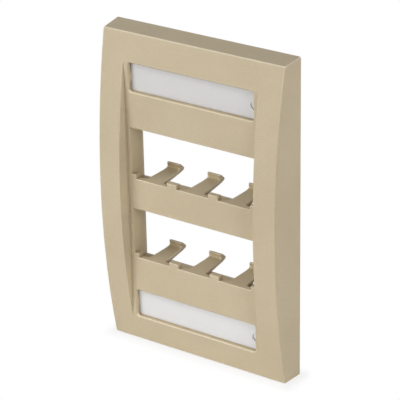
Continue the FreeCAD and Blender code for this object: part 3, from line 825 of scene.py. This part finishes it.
def floor_paint():
    """Pale paint that turns to plain white away from the object."""
    material, graph, output = new_material("floor_paint")
    place = object_place(graph)
    middle = Vector((0, -RIM_DEPTH / 2, moulding_low.z))
    half = Vector((moulding_high.x, RIM_DEPTH / 2, 0))
    offset = graph.vector("ABSOLUTE", graph.vector("SUBTRACT", place, middle))
    apart = graph.length(graph.vector("MAXIMUM", graph.vector("SUBTRACT", offset, half)))
    paint = graph.add(
        "ShaderNodeBsdfPrincipled",
        {
            "Base Color": graph.blend(mottle(graph, place, FLOOR_DRIFT), FLOOR_PALE, FLOOR_DIM),
            "Roughness": 0.9,
            "Specular IOR Level": 0.0,
        },
    )
    white = graph.add("ShaderNodeEmission", {"Color": WHITE, "Strength": 1.0})
    lifted = graph.ramp(apart, 0.0, WHITE_ENDS, WHITE_AT_RIM, 1.0)
    share = graph.maths("MULTIPLY", seen_directly(graph), lifted)
    graph.set(output.inputs["Surface"], graph.mix(share, paint, white).outputs[0])
    return material


# %% Floor
FLOOR_SIZE = 6.0


def floor():
    """A large square under the plate's lower rim."""
    mesh = bmesh.new()
    bmesh.ops.create_grid(mesh, x_segments=1, y_segments=1, size=FLOOR_SIZE / 2)
    bmesh.ops.translate(mesh, verts=mesh.verts, vec=(0, 0, moulding_low.z))
    ground = add_piece("floor", mesh, floor_paint())
    print("Floor: %.2f mm below the plate's middle" % (-moulding_low.z / MM))


floor()

# %% [markdown]
# ## Surround
#
# The background is clean white. A white world as strong as that would also light the plate
# from all sides and wash out its form. So the world is white to the eye, in reflections and
# through the covers, and only faint as a light on the part.

# %% World
SURROUND = 0.05


def surround():
    """An even surround that shows as white."""
    world = bpy.data.worlds.new("surround")
    world.use_nodes = True
    world.node_tree.nodes.clear()
    graph = Graph(world.node_tree)
    strength = graph.between(seen_directly(graph), SURROUND, 1.0)
    white = graph.add("ShaderNodeBackground", {"Color": WHITE, "Strength": strength})
    graph.set(graph.add("ShaderNodeOutputWorld").inputs["Surface"], white.outputs[0])
    scene.world = world


surround()

# %% [markdown]
# ## Light
#
# Two large soft lamps stand left and right of the front, not far above the plate. The
# front gets light from both, the right edge from one, and the top edge is the darkest face
# that shows. A smaller lamp, higher up on the left, puts the thin bright line on the top
# front edge. A small lamp just in front of the plate looks down: it brightens the floor,
# which lights the lower half of the plate in turn. A weak one stands behind, so that the
# back can be seen too. A single lamp could light the front, but not these faces each at its
# own level.

# %% Lamps
def direction(azimuth, elevation):
    """The way from the plate's middle, from angles in degrees; azimuth 0 is straight in front."""
    turn = math.radians(azimuth)
    lift = math.radians(elevation)
    return Vector((math.sin(turn) * math.cos(lift), -math.cos(turn) * math.cos(lift), math.sin(lift)))


def soft_lamp(name, azimuth, elevation, distance, width, power, down=False):
    """A square soft lamp that looks at the plate, or straight down."""
    lamp = bpy.data.lights.new(name, "AREA")
    lamp.size = width
    lamp.energy = power
    toward = direction(azimuth, elevation)
    item = bpy.data.objects.new(name, lamp)
    item.location = toward * distance
    item.rotation_mode = "QUATERNION"
    item.rotation_quaternion = (Vector((0, 0, 1)) if down else toward).to_track_quat("Z", "Y")
    scene.collection.objects.link(item)
    print("Lamp %s: %.3f W" % (name, power))


soft_lamp("front", azimuth=-32, elevation=14, distance=1.3, width=1.0, power=9.4)
soft_lamp("glint", azimuth=-42, elevation=47, distance=1.3, width=0.5, power=4.0)
soft_lamp("right", azimuth=76, elevation=23, distance=1.3, width=0.9, power=9.1)
soft_lamp("foot", azimuth=10, elevation=8, distance=0.17, width=0.16, power=0.042, down=True)
soft_lamp("rear", azimuth=190, elevation=20, distance=1.4, width=0.8, power=1.0)

# %% [markdown]
# ## Camera
#
# The photograph was taken from a little above, to the right of the plate, with a long
# lens. The camera could be aimed at a point, but then its roll is lost. So it turns about
# the plate's middle, and a small roll and a small sideways move put the plate where it is
# in the picture.

# %% Camera
CAMERA_AZIMUTH = 33.906
CAMERA_ELEVATION = 25.953
CAMERA_ROLL = math.radians(-1.222)
CAMERA_DISTANCE = 641.4 * MM
MOVE_RIGHT = -3.146 * MM
MOVE_UP = -0.80 * MM
SENSOR = 36.0
LENS = 174.44
CLIP_START = 10 * MM


def photograph_camera():
    """The camera at the photograph's angle."""
    back = direction(CAMERA_AZIMUTH, CAMERA_ELEVATION)
    level = Vector((math.cos(math.radians(CAMERA_AZIMUTH)), math.sin(math.radians(CAMERA_AZIMUTH)), 0))
    upright = back.cross(level)
    right = level * math.cos(CAMERA_ROLL) + upright * math.sin(CAMERA_ROLL)
    up = upright * math.cos(CAMERA_ROLL) - level * math.sin(CAMERA_ROLL)
    data = bpy.data.cameras.new("camera")
    data.sensor_width = SENSOR
    data.lens = LENS
    data.clip_start = CLIP_START
    camera = bpy.data.objects.new("camera", data)
    facing = Matrix((right, up, back)).transposed().to_4x4()
    place = back * CAMERA_DISTANCE + right * MOVE_RIGHT + up * MOVE_UP
    camera.matrix_world = Matrix.Translation(place) @ facing
    scene.collection.objects.link(camera)
    scene.camera = camera
    print("Camera: %.0f mm from the plate's middle" % (place.length / MM))


photograph_camera()
